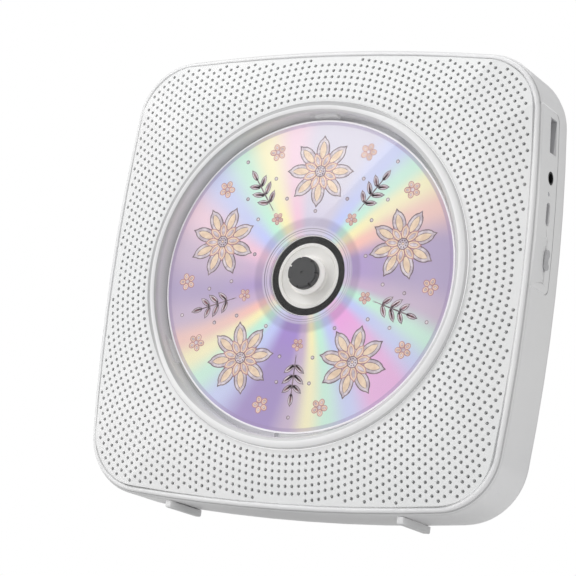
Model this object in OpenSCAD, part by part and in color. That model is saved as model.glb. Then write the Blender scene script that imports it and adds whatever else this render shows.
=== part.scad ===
// Wall mounted disc player: a bowed square body with a perforated, pillowed grille,
// a round open well for the disc and its drive, and a clear dust cover.
// Lengths are in millimetres: X to the right, Y from the front to the back, Z up.

/* [Body] */
// Width and height over the middle of the sides
body_w = 177; // [175:0.5:181]
// Depth from the flat of the grille to the back
body_d = 35.4; // [35:0.2:40]
// Radius of each bowed side
side_bow = 700; // [560:20:1000]
// Radius of the corners
corner_r = 24; // [21:0.5:27]
// Wall of the rear shell
shell_wall = 2.2; // [2:0.1:2.6]
// Radius of the rounded back edge
back_round = 6; // [4:0.5:8]
// Running gap at seams
seam_gap = 0.25; // [0.15:0.05:0.35]

/* [Grille] */
// Wall of the grille
grille_t = 1.8; // [1.4:0.1:2.2]
// Spacing of the hole rings
hole_pitch = 2.65; // [2.6:0.05:2.8]
// Diameter of each hole
hole_d = 1.3; // [1.1:0.05:1.5]
// How far the grille falls back at its edge
roll_drop = 4.8; // [4:0.2:5.4]
// Speaker cloth behind the grille
cloth_t = 0.5; // [0.4:0.1:0.7]

/* [Front frame] */
// Visible width of the front rim
rim_w = 1.7; // [1.4:0.1:2.2]
// Step in from the side of the body to the rim
rim_step = 0.9; // [0.6:0.1:1.2]
// Thickness of the baffle behind the grille
baffle_t = 1.8; // [1.5:0.1:2.2]
// Depth of the skirt inside the rear shell
skirt_d = 3.4; // [3:0.1:4]

/* [Disc well] */
// Clearance between the disc and the well
disc_gap = 2; // [1.8:0.1:2.4]
// Radius of the raised bead round the well
bead_r = 2.2; // [1.8:0.1:2.3]
// Wall of the well
well_wall = 1.7; // [1.5:0.1:2]
// Thickness of the tray floor
tray_t = 1.75; // [1.5:0.05:2]

/* [Disc] */
// Diameter of the disc
disc_d = 120; // [116:1:124]
// Thickness of the disc
disc_t = 1.2; // [1.1:0.1:1.3]
// Diameter of the hole in the disc
disc_hole = 15; // [15:0.1:15.2]
// Depth of the disc's face behind the flat of the grille
disc_y = 3.2; // [3:0.1:3.6]

/* [Drive] */
// Radius of the platter
platter_r = 15.4; // [14:0.2:16]
// Radius of the cap on the spindle
cap_r = 6; // [5.4:0.1:6.4]
// Radius of the motor shaft
shaft_r = 1; // [0.8:0.1:1.2]
// Width of the rubber ring on the platter
ring_w = 2.7; // [2.2:0.1:3]
// Radius of the spindle motor
motor_r = 12; // [10:0.5:12.5]
// Radius of the guide rail and of the lead screw
rail_r = 1.5; // [1.2:0.1:1.8]
// Rail and screw to the left and right of the lens
rail_x = 12; // [11.5:0.1:12.5]
// Lens at the innermost track
lens_z = -24.5; // [-26:0.1:-24]
// Travel of the laser sled
sled_travel = 33; // [30:0.5:33]
// Thickness of the deck plate
deck_t = 1.6; // [1.2:0.1:2]
// Running fit of shafts and rails
fit = 0.05; // [0.03:0.01:0.08]

/* [Ports] */
// Middle of the sockets, from the flat of the grille
port_y = 17.1; // [16.6:0.1:17.6]
// Height of the USB socket above the disc's centre
usb_z = 57; // [56:0.5:58]
// Height of the headphone socket
jack_z = 41; // [40:0.5:42]
// Height of the battery light
led_z = 34.8; // [34:0.1:35.4]
// Height of the charging socket
charge_z = 27.4; // [26.5:0.1:28]
// Height of the power switch
switch_z = 10.5; // [10:0.5:12]
// Travel of the power switch to each side
switch_travel = 3; // [2:0.5:4]

/* [Speakers] */
// Radius of each speaker
speaker_r = 16; // [13:0.5:17]

/* [Buttons] */
// Spacing of the buttons on top
button_pitch = 16; // [14:0.5:18]
// Length of each button
button_l = 10; // [8:0.5:11]
// Width of each button
button_w = 5; // [4:0.5:6]
// Travel of each button
button_travel = 0.8; // [0.5:0.1:1]

/* [Stand and wall fixings] */
// Distance between the two feet
foot_span = 96.8; // [88:0.4:104]
// Width of each foot
foot_w = 2.4; // [2:0.2:3]
// Height of the feet below the body
foot_h = 2.8; // [2.4:0.1:3.4]
// Length of each foot
foot_l = 23.6; // [20:0.4:24]
// Distance between the keyholes
hanger_span = 60; // [50:2:70]
// Height of the keyholes above the disc's centre
hanger_z = 40; // [36:1:44]
// Diameter that a screw head enters by
hanger_d = 9; // [8.4:0.1:9.6]
// Width of the keyhole's slot
hanger_slot = 4.4; // [4:0.1:4.8]

/* [Hidden] */
$fn = 96;
eps = 0.01;
reach = 260;
well_r = disc_d/2 + disc_gap;
// places along the depth, from the flat of the grille
rim_y = roll_drop - 0.2;
ledge_y = roll_drop + grille_t + cloth_t + 0.1;
baffle_y = ledge_y + baffle_t;
shell_y = rim_y + grille_t;
rim_round = rim_w - 0.8;
bevel = rim_step;
lip_y = shell_y + skirt_d;
lip = shell_wall - 1;
inner_y = body_d - shell_wall;
well_y = baffle_y;
tray_y = well_y + 0.05;
tray_back = tray_y + tray_t;
deck_y = tray_back + 1.8;
deck_back = deck_y + deck_t;
// the seam round the grille
seam_in = rim_step + rim_w;
half = body_w/2;
// the pillow: each side and each diagonal rolls back by the same rule
roll_steps = 5;
roll_power = 1.65;
flat_half = well_r;
roll_edge = half - seam_in;
corner_reach = sqrt(2)*corner_c(half) + corner_r - seam_in;
corner_roll = 29.5;
flat_diag = corner_reach - corner_roll;
// the bead and what lies against it
bead_mid = well_r + bead_r;
bead_y = -0.2;
eye_r = bead_mid + bead_r + seam_gap;
wall_r = well_r + well_wall;
// hole rings, with plain bands inside the first and outside the last
eye_margin = 1.5;
hole_margin = 1.6;
first_ring = ceil((eye_r + hole_d/2 + eye_margin)/hole_pitch);
last_ring = floor((corner_reach - hole_margin)/hole_pitch);
flange_r = first_ring*hole_pitch - hole_d/2 - 0.2;
flange_y = grille_t + roll_y(flange_r, flat_half, roll_edge) + 0.05;
foot_flange_r = flange_r + 1.5;
// the cover and its three legs
cover_t = 1.2;
cover_y = bead_y - bead_r + 0.05;
cover_r = well_r - 0.3;
leg_t = 1;
leg_w = 12;
leg_end = disc_y - 0.7;
legs = [90, 210, 330];
// the turning parts
disc_back = disc_y + disc_t;
hub_r = disc_hole/2 - 0.15;
platter_t = 2.2;
platter_y = disc_back + 0.03;
ring_out = platter_r - 0.2;
ring_in = ring_out - ring_w;
ring_t = 0.8;
brim_in = ring_in - 1.25;
dish_r = brim_in - 0.35;
boss_y = disc_y - 1.4;
boss_slope = 1.1;
cap_y = -0.9;
cap_notches = 7;
sleeve_r = shaft_r + 3;
sleeve_end = deck_y - 0.9;
motor_y = deck_back;
motor_back = motor_y + 6.8;
// the sled
sled_y = deck_back + 0.4;
sled_t = 4.4;
rail_y = sled_y + sled_t/2;
sled_half = 11;
slot_x = 8;
tower_x = 6;
tower_z = 3.4;
rail_top = -9.8;
bracket_t = 2.5;
rail_end = lens_z - sled_travel - sled_half - 2;
deck_top = 20;
deck_end = rail_end - bracket_t;
deck_wide = 38;
deck_step = -60;
feed_motor_r = 5.4;
feed_motor_l = 8.5;
feed_in = 2.6;
damper_r = 4;
dampers = [for (s = [-1, 1], z = [deck_top, deck_step]) [s*(deck_wide - 6), z + (z > 0 ? -6 : 6)]];
// boards
board_t = 1.6;
board_y = inner_y - 6.8;
board_wide = half - 26.5;
board_z = [-22, 58];
post_r = 3;
post_in = 6;
posts = [for (s = [-1, 1], z = [board_z[0] + post_in + 2, board_z[1] - post_in])
  [s*(board_wide - post_in), z]];
battery_w = 60;
battery_t = 5.5;
battery_z = [18, 54];
side_board_y = port_y + 4.1;
side_in = 16.5;
side_out = 6.5;
side_board = [half - side_in, half - side_out];
side_posts = [4, 60];
// the sockets' plate
plate_y = port_y + 5.9;
plate_low = -1.5;
plate_high = 66.5;
plate_r = 3;
plate_gap = 0.2;
plate_in = 16;
cut_in = 12;
// the sockets
usb_w = 13.2;
usb_h = 5.8;
usb_y = port_y + 0.8;
usb_l = 15;
metal_t = 0.35;
jack_r = 1.8;
jack_l = 12;
charge_w = 8.7;
charge_h = 3.2;
charge_y = port_y - 0.6;
charge_l = 7.5;
knob_w = 3.2;
knob_l = 7.6;
knob_t = 0.9;
track_w = 1.6;
track_l = 17.4;
knob_hollow = 4;
stem_w = 1;
stem_l = 3;
// speakers, midway between the well's flange and the corner of the skirt
speaker_mid = (foot_flange_r + corner_reach - 2.8)/2;
speaker_at = speaker_mid/sqrt(2);
speaker_room = (corner_reach - foot_flange_r)/2 - 1.8;
driver_r = min(speaker_r, speaker_room);
cone_r = driver_r - 2.5;
magnet_r = 0.6*driver_r;
basket_l = 8;
magnet_l = 6;
speaker_flange = 1.4;
// buttons
button_n = 5;
button_y = port_y;
button_out = 1;
button_gap = 0.15;
button_flange = 1;
keys_z = half - 9.5;
key_reach = 7;
key_half = button_pitch*(button_n - 1)/2 + 10.4;
key_switch = 6;
plunger_r = 1.6;
// case screws, high and wide at the top and near the middle at the bottom
screws = [for (s = [-1, 1]) each [[s*(half - 30.5), half - 16.5], [s*36, 10.5 - half]]];
screw_r = 1.3;
head_r = 2.8;
boss_r = 4.6;
// feet
foot_front = shell_y + bevel + 0.1;
foot_round = 0.8;
tongue_w = 2;
tongue_l = 15;
// bumpers
bumper_at = half - 30.5;
bumpers = [for (x = [-1, 1], z = [-1, 1]) [x*bumper_at, z*bumper_at]];
bumper_r = 5;
bumper_t = 1.2;
// the frame: middle of the depth, bottom of the feet
frame_y = -(bead_y - bead_r + body_d + bumper_t)/2;
frame_z = half - drop_at(foot_span/2) + foot_h;

// How far a bowed side has fallen back at a distance from its middle.
function drop_at(u) = side_bow - sqrt(side_bow*side_bow - u*u);

// Centre of the corner arc that meets both bowed sides: it stays put for every inset.
function corner_c(h) = let (k = h - side_bow, q = side_bow - corner_r) (k + sqrt(2*q*q - k*k))/2;

function turned(p, a) = [p[0]*cos(a) - p[1]*sin(a), p[0]*sin(a) + p[1]*cos(a)];

// One side and one corner of the outline, for each quarter turn.
function outline_points(inset) =
  let (k = half - side_bow, s = side_bow - inset, r = corner_r - inset,
       c = corner_c(half), phi = atan2(c, c - k), side_n = 4, corner_n = 14)
  [for (q = [0:3], i = [-side_n:side_n + corner_n - 1])
     let (a = i <= side_n ? phi*i/side_n : phi + (90 - 2*phi)*(i - side_n)/corner_n)
     turned(i <= side_n ? [k + s*cos(a), s*sin(a)] : [c + r*cos(a), c + r*sin(a)], 90*q)];

// The outline, inset and extruded between two depths.
module slab(inset, y0, y1) {
  translate([0, y1, 0]) rotate([90, 0, 0]) linear_extrude(y1 - y0) polygon(outline_points(inset));
}

// A 2D shape in X and Z, extruded between two depths.
module plate(y0, y1) {
  translate([0, y1, 0]) rotate([90, 0, 0]) linear_extrude(y1 - y0) children();
}

// A profile in radius and depth, turned round the disc's axis.
module turned_part() {
  rotate([-90, 0, 0]) rotate_extrude() children();
}

// A disc or bar along the depth.
module rod_y(r, y0, y1, x = 0, z = 0) {
  translate([x, y0, z]) rotate([-90, 0, 0]) cylinder(r = r, h = y1 - y0);
}

module box(lo, hi) {
  translate(lo) cube(hi - lo);
}

// A slot with round ends, in the plane of the right side: Y across, Z along.
module side_slot(w, l, x0, x1, y, z) {
  for (e = [-1, 1]) translate([x0, y, z + e*(l - w)/2]) rotate([0, 90, 0]) cylinder(d = w, h = x1 - x0);
  box([x0, y - w/2, z - (l - w)/2], [x1, y + w/2, z + (l - w)/2]);
}

// Right side of the body at a height above the disc's centre.
function side_x(z) = half - drop_at(z);

// Top of the body at a distance from its middle.
function top_z(x) = half - drop_at(x);

// Rolled profile: flat in the middle, then falling back to its edge and on.
function roll_y(u, flat, edge) = roll_drop*pow(max(0, u - flat)/(edge - flat), roll_power);

module roll_profile(flat, edge) {
  last = edge + 6;
  pts = [for (i = [0:roll_steps]) let (u = flat + (last - flat)*i/roll_steps) [u, roll_y(u, flat, edge)]];
  polygon(concat(pts, [[last, 30], [-last, 30]],
    [for (i = [roll_steps:-1:0]) [-pts[i][0], pts[i][1]]]));
}

// Everything behind the pillowed front, moved back by d.
module pillow(d) {
  translate([0, d, 0]) intersection_for (t = [0:3])
    rotate([0, 45*t, 0]) translate([0, 0, -reach/2]) linear_extrude(reach)
      roll_profile(t % 2 == 0 ? flat_half : flat_diag, t % 2 == 0 ? roll_edge : corner_reach);
}

// Hole rings: six more holes in each ring than in the one inside it, every second ring shifted
// by half a spacing, so that the holes stand in triangles all the way round.
module hole_pattern() {
  for (k = [first_ring:last_ring], j = [0:6*k - 1])
    let (a = (j + (k % 2)/2)*60/k, x = k*hole_pitch*cos(a), z = k*hole_pitch*sin(a))
      if (within_seam(abs(x), abs(z))) translate([x, z]) circle(d = hole_d, $fn = 24);
}

// Whether a hole stands clear of the seam, on a side or in a corner.
function within_seam(x, z) =
  let (c = corner_c(half), clear = seam_in + hole_margin)
  x > c && z > c ? norm([x - c, z - c]) < corner_r - clear
    : max(x + drop_at(z), z + drop_at(x)) < half - clear;

module front_grille() {
  color("white") intersection() {
    difference() {
      pillow(0);
      pillow(grille_t);
    }
    plate(-eps, roll_drop + grille_t + 3) difference() {
      polygon(outline_points(seam_in + seam_gap));
      circle(r = eye_r);
      hole_pattern();
    }
  }
}

module grille_cloth() {
  color("dimgray") intersection() {
    difference() {
      pillow(grille_t + 0.05);
      pillow(grille_t + cloth_t);
    }
    plate(-eps, ledge_y - 0.05) difference() {
      polygon(outline_points(seam_in + 0.5));
      circle(r = flange_r + 0.2);
    }
  }
}

module front_rim() {
  color("white") difference() {
    union() {
      // the visible rim, its outer edge rounded
      hull() for (a = [0:30:90])
        slab(rim_step + rim_round*(1 - sin(a)), rim_y + rim_round*(1 - cos(a)), shell_y);
      // the skirt inside the rear shell and the baffle
      slab(lip + 0.15, shell_y - eps, lip_y - 0.2);
    }
    slab(seam_in, 0, ledge_y);
    slab(lip + 1.8, baffle_y, lip_y);
    rod_y(wall_r + 0.2, 0, body_d);
    for (s = [-1, 1]) rod_y(cone_r, 0, body_d, s*speaker_at, -speaker_at);
    for (p = screws) rod_y(screw_r - 0.2, 0, body_d, p[0], p[1]);
  }
}

module well_ring() {
  color("white") {
    turned_part() {
      // the raised bead and the wall under it
      translate([bead_mid, bead_y]) circle(r = bead_r);
      translate([well_r, bead_y]) square([well_wall, well_y - bead_y]);
      // the flange behind the grille's edge, and the one that rests on the baffle
      translate([well_r + 0.5, flange_y]) square([flange_r - well_r - 0.5, 1.3]);
      translate([well_r + 0.5, ledge_y - 1.5]) square([foot_flange_r - well_r - 0.5, 1.45]);
    }
    // rests for the legs of the cover
    for (a = legs) intersection() {
      turned_part() translate([well_r - 1, leg_end + 0.05]) square([1.2, 2.2]);
      rotate([0, -a, 0]) box([0, 0, -leg_w/2 + 1], [reach, body_d, leg_w/2 - 1]);
    }
  }
}

module disc_tray() {
  color("gainsboro") difference() {
    rod_y(foot_flange_r, tray_y, tray_back);
    rod_y(sleeve_r + 4, 0, body_d);
    box([-slot_x, 0, lens_z - sled_travel - tower_z - 0.6], [slot_x, body_d, lens_z + tower_z + 3]);
  }
}

// Outside of the rear shell: eased front edge, straight side, rounded back edge.
module shell_outer() {
  hull() {
    slab(bevel, shell_y + 0.05, body_d - back_round);
    slab(0, shell_y + bevel, body_d - back_round);
    for (a = [22.5:22.5:90])
      slab(back_round*(1 - cos(a)), body_d - back_round, body_d - back_round*(1 - sin(a)));
  }
}

// Inside of the rear shell, with the wider mouth that takes the skirt.
module shell_inner() {
  hull() {
    slab(shell_wall, 0, body_d - back_round);
    for (a = [30, 60, 90])
      slab(shell_wall + (back_round - shell_wall)*(1 - cos(a)), body_d - back_round - 1,
        body_d - back_round + (back_round - shell_wall)*sin(a));
  }
  slab(lip, 0, lip_y);
}

// Block of the right side that the sockets' plate fills, grown by a gap.
module plate_block(g) {
  translate([half - plate_in, 0, 0]) rotate([90, 0, 90]) linear_extrude(2*plate_in) {
    translate([-1, plate_low - g]) square([plate_y - plate_r + 1, plate_high - plate_low + 2*g]);
    translate([0, plate_low + plate_r]) square([plate_y + g, plate_high - plate_low - 2*plate_r]);
    for (z = [plate_low + plate_r, plate_high - plate_r])
      translate([plate_y - plate_r, z]) circle(r = plate_r + g);
  }
}

module button_hole(i, g) {
  x = (i - (button_n + 1)/2)*button_pitch;
  for (e = [-1, 1]) translate([x + e*(button_l - button_w)/2, button_y, half - 8])
    cylinder(d = button_w + 2*g, h = 16);
  box([x - (button_l - button_w)/2, button_y - button_w/2 - g, half - 8],
    [x + (button_l - button_w)/2, button_y + button_w/2 + g, half + 8]);
}

module rear_shell() {
  foot_x = foot_span/2;
  color("white") difference() {
    union() {
      difference() {
        shell_outer();
        shell_inner();
        plate_block(plate_gap);
      }
      // bosses for the case screws, the boards and the ends of the button board
      for (p = screws) rod_y(boss_r, baffle_y + 0.3, inner_y + eps, p[0], p[1]);
      for (p = posts) rod_y(post_r, board_y + board_t, inner_y + eps, p[0], p[1]);
      for (z = side_posts) rod_y(2.6, side_board_y + board_t, inner_y + eps, side_board[0] + 4, z);
      for (s = [-1, 1]) box([s*(key_half + 0.1) - 1.5, button_y - 4, keys_z - 2.5],
        [s*(key_half + 0.1) + 1.5, inner_y + eps, keys_z + board_t + 2.5]);
    }
    for (s = [-1, 1]) box([s*(key_half - 0.4) - 1, button_y - key_reach - 1, keys_z - 0.05],
      [s*(key_half - 0.4) + 1, inner_y - 1, keys_z + board_t + 0.05]);
    for (p = screws) {
      rod_y(screw_r + 0.2, 0, body_d + 1, p[0], p[1]);
      rod_y(head_r + 0.3, body_d - 4, body_d + 1, p[0], p[1]);
    }
    for (i = [1:button_n]) button_hole(i, button_gap);
    for (s = [-1, 1]) {
      // keyholes, the wide end at the bottom
      rod_y(hanger_d/2, inner_y - 1, body_d + 1, s*hanger_span/2, hanger_z);
      rod_y(hanger_slot/2, inner_y - 1, body_d + 1, s*hanger_span/2, hanger_z + hanger_d);
      box([s*hanger_span/2 - hanger_slot/2, inner_y - 1, hanger_z],
        [s*hanger_span/2 + hanger_slot/2, body_d + 1, hanger_z + hanger_d]);
      // slots for the tongues of the feet
      box([s*foot_x - tongue_w/2 - 0.1, foot_front + (foot_l - tongue_l)/2 - 0.1, -half - 1],
        [s*foot_x + tongue_w/2 + 0.1, foot_front + (foot_l + tongue_l)/2 + 0.1, -half + 6]);
    }
  }
}

module port_plate() {
  color("white") difference() {
    intersection() {
      difference() {
        shell_outer();
        shell_inner();
      }
      plate_block(0);
    }
    box([half - cut_in, usb_y - usb_h/2 - 0.1, usb_z - usb_w/2 - 0.1],
      [half + 5, usb_y + usb_h/2 + 0.1, usb_z + usb_w/2 + 0.1]);
    translate([half - cut_in, port_y, jack_z]) rotate([0, 90, 0]) cylinder(r = jack_r + 0.75, h = 20);
    translate([half - cut_in, port_y - 1, led_z]) rotate([0, 90, 0]) cylinder(r = 0.85, h = 20);
    side_slot(charge_h + 0.2, charge_w + 0.2, half - cut_in, half + 5, charge_y, charge_z);
    side_slot(track_w, track_l, side_x(switch_z) - 0.6, half + 5, port_y + 0.4, switch_z);
    side_slot(stem_w + 0.4, stem_l + 2*switch_travel + 0.8, half - cut_in, half + 5, port_y + 0.4, switch_z);
  }
}

module usb_port() {
  out = side_x(usb_z) - 0.5;
  color("silver") {
    difference() {
      box([out - usb_l, usb_y - usb_h/2, usb_z - usb_w/2], [out, usb_y + usb_h/2, usb_z + usb_w/2]);
      box([out - usb_l + 1, usb_y - usb_h/2 + metal_t, usb_z - usb_w/2 + metal_t],
        [out + 1, usb_y + usb_h/2 - metal_t, usb_z + usb_w/2 - metal_t]);
    }
    box([out - usb_l + 0.5, usb_y - usb_h/2 + 0.8, usb_z - usb_w/2 + 1.2],
      [out - 2, usb_y - usb_h/2 + 2.6, usb_z + usb_w/2 - 1.2]);
    box([out - usb_l, usb_y + usb_h/2 - eps, usb_z - 5], [out - usb_l + 6, side_board_y - 0.02, usb_z + 5]);
  }
}

module headphone_jack() {
  out = side_x(jack_z) - 0.1;
  color("black") difference() {
    union() {
      translate([out - 3, port_y, jack_z]) rotate([0, 90, 0]) cylinder(r = jack_r + 0.65, h = 3);
      box([out - jack_l - 2, port_y - 3, jack_z - 3.5], [out - 3 + eps, side_board_y - 0.02, jack_z + 3.5]);
    }
    translate([out - jack_l, port_y, jack_z]) rotate([0, 90, 0]) cylinder(r = jack_r, h = jack_l + 1);
  }
}

module charge_port() {
  out = side_x(charge_z) - 0.4;
  color("silver") {
    difference() {
      side_slot(charge_h, charge_w, out - charge_l, out, charge_y, charge_z);
      side_slot(charge_h - 2*metal_t, charge_w - 2*metal_t, out - charge_l + 1, out + 1, charge_y, charge_z);
    }
    box([out - charge_l + 0.5, charge_y - 0.35, charge_z - 3.2], [out - 1, charge_y + 0.35, charge_z + 3.2]);
    box([out - charge_l, charge_y + charge_h/2 - 0.1, charge_z - 2.5],
      [out - charge_l + 3, side_board_y - 0.02, charge_z + 2.5]);
  }
}

module status_led() {
  color("lightyellow") {
    translate([side_board[1] - 3, port_y - 1, led_z]) rotate([0, 90, 0])
      cylinder(r = 0.75, h = side_x(led_z) - 0.2 - side_board[1] + 3);
    box([side_board[1] - 3, port_y - 1.75, led_z - 1.5],
      [side_board[1] - 0.5, side_board_y - 0.02, led_z + 1.5]);
  }
}

// The small board behind the sockets, with the fixed half of the power switch.
module side_board() {
  color("darkgreen") {
    box([side_board[0], side_board_y, plate_low - 1], [side_board[1], side_board_y + board_t, plate_high]);
    box([side_board[1] - 6, port_y - 2.4, switch_z - 6.5],
      [side_board[1] - 1, side_board_y + eps, switch_z + 6.5]);
  }
}

module power_switch() {
  y = port_y + 0.4;
  face = half + 0.1;
  color("gainsboro") {
    intersection() {
      side_slot(knob_w, knob_l, face, face + knob_t, y, switch_z);
      // a finger hollow is left by the cut below
      difference() {
        box([face - 1, y - knob_w, switch_z - knob_l], [face + 5, y + knob_w, switch_z + knob_l]);
        translate([face + knob_t + 0.9*knob_hollow, y - knob_w, switch_z]) rotate([-90, 0, 0])
          cylinder(r = knob_hollow, h = 2*knob_w);
      }
    }
    box([side_board[1] - 0.8, y - stem_w/2, switch_z - stem_l/2],
      [face + eps, y + stem_w/2, switch_z + stem_l/2]);
  }
}

module main_board() {
  color("darkgreen") difference() {
    box([-board_wide, board_y, board_z[0]], [board_wide, board_y + board_t, board_z[1]]);
    for (p = posts) rod_y(0.4*post_r, 0, body_d, p[0], p[1]);
  }
}

module battery_pack() {
  color("steelblue") box([-battery_w/2, board_y - battery_t, battery_z[0]],
    [battery_w/2, board_y - 0.05, battery_z[1]]);
}

// A full-range driver: flange, cone, basket and magnet.
module speaker() {
  rotate([-90, 0, 0]) difference() {
    union() {
      cylinder(r = driver_r, h = speaker_flange);
      translate([0, 0, speaker_flange - eps])
        cylinder(r1 = driver_r - 1.2, r2 = magnet_r - 0.5, h = basket_l - speaker_flange);
      translate([0, 0, basket_l - 2*eps]) cylinder(r = magnet_r, h = magnet_l);
    }
    translate([0, 0, -eps]) cylinder(r1 = cone_r - 0.5, r2 = 0.3*cone_r, h = basket_l - 3.5);
  }
}

module left_speaker() {
  color("darkslategray") translate([-speaker_at, baffle_y + 0.02, -speaker_at]) speaker();
}

module right_speaker() {
  color("darkslategray") translate([speaker_at, baffle_y + 0.02, -speaker_at]) speaker();
}

module deck_frame() {
  color("silver") difference() {
    union() {
      box([-deck_wide, deck_y, deck_step], [deck_wide, deck_back, deck_top]);
      box([-deck_wide/2, deck_y, deck_end], [deck_wide/2, deck_back, deck_step + eps]);
      for (s = [-1, 1], z = [rail_top, rail_end])
        box([s*rail_x - rail_r - 1.5, deck_back - eps, z - bracket_t],
          [s*rail_x + rail_r + 1.5, rail_y + rail_r + 1.5, z]);
    }
    rod_y(sleeve_r + 1, 0, body_d);
    box([-slot_x, 0, lens_z - sled_travel - tower_z - 1.5], [slot_x, body_d, lens_z + tower_z + 2]);
    for (p = dampers) rod_y(2, 0, body_d, p[0], p[1]);
    for (s = [-1, 1]) translate([s*rail_x, rail_y, deck_end - 1])
      cylinder(r = rail_r + (s > 0 ? fit : 0.01), h = rail_top - deck_end + 2);
  }
}

module deck_dampers() {
  color("dimgray") for (p = dampers) translate([p[0], 0, p[1]]) turned_part() {
    translate([0, tray_back + 0.02]) square([damper_r, deck_y - tray_back - 0.04]);
    translate([0, tray_back + 0.5]) square([1.9, deck_back - tray_back]);
    translate([0, deck_back + 0.02]) square([damper_r, 1.4]);
  }
}

module spindle_motor() {
  color("silver") difference() {
    union() {
      rod_y(motor_r, motor_y + 0.02, motor_back);
      rod_y(sleeve_r + 0.8, sleeve_end + 0.4, motor_y + 0.1);
    }
    rod_y(shaft_r + fit, 0, motor_back - 1);
  }
}

module guide_rail() {
  color("silver") translate([-rail_x, rail_y, deck_end]) cylinder(r = rail_r, h = rail_top - deck_end);
}

module sled_motor() {
  color("silver") difference() {
    translate([rail_x, rail_y, deck_end - feed_motor_l]) cylinder(r = feed_motor_r, h = feed_motor_l - 0.05);
    translate([rail_x, rail_y, deck_end - feed_in - 0.4]) cylinder(r = rail_r + fit, h = feed_in + 1);
  }
}

// The board under the buttons, with a plunger below each.
module key_board() {
  color("darkgreen") {
    box([-key_half, button_y - key_reach, keys_z], [key_half, inner_y - 1.2, keys_z + board_t]);
    for (i = [1:button_n]) let (x = (i - (button_n + 1)/2)*button_pitch) {
      box([x - key_switch/2, button_y - key_switch/2, keys_z + board_t - eps],
        [x + key_switch/2, button_y + key_switch/2, keys_z + board_t + 1.6]);
      translate([x, button_y, keys_z + board_t])
        cylinder(r = plunger_r, h = flange_z(x) - button_travel - 0.15 - keys_z - board_t);
    }
  }
}

// Underside of a button's flange, which sits just inside the top wall.
function flange_z(x) = top_z(abs(x) + button_l/2) - shell_wall - 0.15 - button_flange;

module button(i) {
  x = (i - (button_n + 1)/2)*button_pitch;
  color("gainsboro") {
    intersection() {
      button_hole(i, 0);
      box([x - button_l, 0, flange_z(x) + eps], [x + button_l, body_d, top_z(x) + button_out]);
    }
    box([x - button_l/2 - 0.8, button_y - button_w/2 - 0.8, flange_z(x)],
      [x + button_l/2 + 0.8, button_y + button_w/2 + 0.8, flange_z(x) + button_flange]);
  }
}

module foot(s) {
  x = s*foot_span/2;
  z0 = -top_z(foot_span/2);
  mid = foot_front + foot_l/2;
  color("white") {
    // the fin, round at its lower corners
    translate([x - foot_w/2, 0, 0]) rotate([90, 0, 90]) linear_extrude(foot_w) {
      translate([foot_front, z0 - foot_h + foot_round]) square([foot_l, foot_h - foot_round - 0.1]);
      translate([foot_front + foot_round, z0 - foot_h]) square([foot_l - 2*foot_round, foot_round + eps]);
      for (y = [foot_front + foot_round, foot_front + foot_l - foot_round])
        translate([y, z0 - foot_h + foot_round]) circle(r = foot_round);
    }
    // the tongue through the shell and its flange inside
    box([x - tongue_w/2, mid - tongue_l/2, z0 - 0.2],
      [x + tongue_w/2, mid + tongue_l/2, z0 + shell_wall + 1.2]);
    box([x - tongue_w/2 - 1.6, mid - tongue_l/2 - 1, z0 + shell_wall + 0.25],
      [x + tongue_w/2 + 1.6, mid + tongue_l/2 + 1, z0 + shell_wall + 1.25]);
  }
}

module left_foot() {
  foot(-1);
}

module right_foot() {
  foot(1);
}

module rear_bumpers() {
  color("dimgray") for (p = bumpers) rod_y(bumper_r, body_d + 0.01, body_d + bumper_t, p[0], p[1]);
}

module turntable() {
  color("ivory") turned_part() difference() {
    union() {
      translate([shaft_r + 0.01, platter_y]) square([platter_r - shaft_r, platter_t]);
      // the boss that centres the disc, sloped towards its front
      polygon([[shaft_r + 0.01, boss_y], [hub_r - boss_slope, boss_y], [hub_r, boss_y + 1.5*boss_slope],
        [hub_r, platter_y + platter_t], [shaft_r + 0.01, platter_y + platter_t]]);
      translate([shaft_r + 0.01, platter_y]) square([sleeve_r - shaft_r, sleeve_end - platter_y]);
    }
    // the seat of the rubber ring, and the dished middle with a groove round it
    translate([ring_in, platter_y - 1]) square([ring_w, ring_t + 1]);
    polygon([[hub_r, platter_y - 0.5], [hub_r, platter_y + 1], [dish_r, platter_y + 0.25],
      [dish_r, platter_y + 0.6], [brim_in, platter_y + 0.6], [brim_in, platter_y - 0.5]]);
    translate([-1, boss_y - 1]) square([shaft_r + 3, 1.6]);
  }
}

module platter_ring() {
  y = platter_y + 0.02;
  color("black") turned_part() polygon([[ring_in + 0.02, y + 0.15], [ring_in + 0.3, y], [ring_out - 0.5, y],
    [ring_out - 0.02, y + 0.3], [ring_out - 0.02, y + ring_t - 0.03], [ring_in + 0.02, y + ring_t - 0.03]]);
}

module spindle_cap() {
  color("dimgray") difference() {
    turned_part() {
      translate([0, cap_y + 0.4]) square([cap_r, boss_y - cap_y - 0.42]);
      translate([0, cap_y]) square([cap_r - 0.4, 1]);
      translate([0, boss_y - 0.1]) square([shaft_r + 1.9, 0.68]);
    }
    // notches round the rim and a centre dimple
    for (i = [0:cap_notches - 1]) rotate([0, 360*i/cap_notches, 0])
      box([cap_r - 0.9, cap_y - 1, -0.3], [cap_r + 1, cap_y + 1.6, 0.3]);
    rod_y(0.5, cap_y - 1, cap_y + 0.3);
  }
}

module motor_shaft() {
  color("silver") rod_y(shaft_r, boss_y + 0.7, motor_back - 1.5);
}

module disc() {
  color("plum") turned_part() {
    translate([disc_hole/2, disc_y]) square([disc_d/2 - disc_hole/2, disc_t]);
    // the stacking ring
    translate([17.8, disc_y - 0.2]) square([0.8, 0.4]);
  }
}

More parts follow.
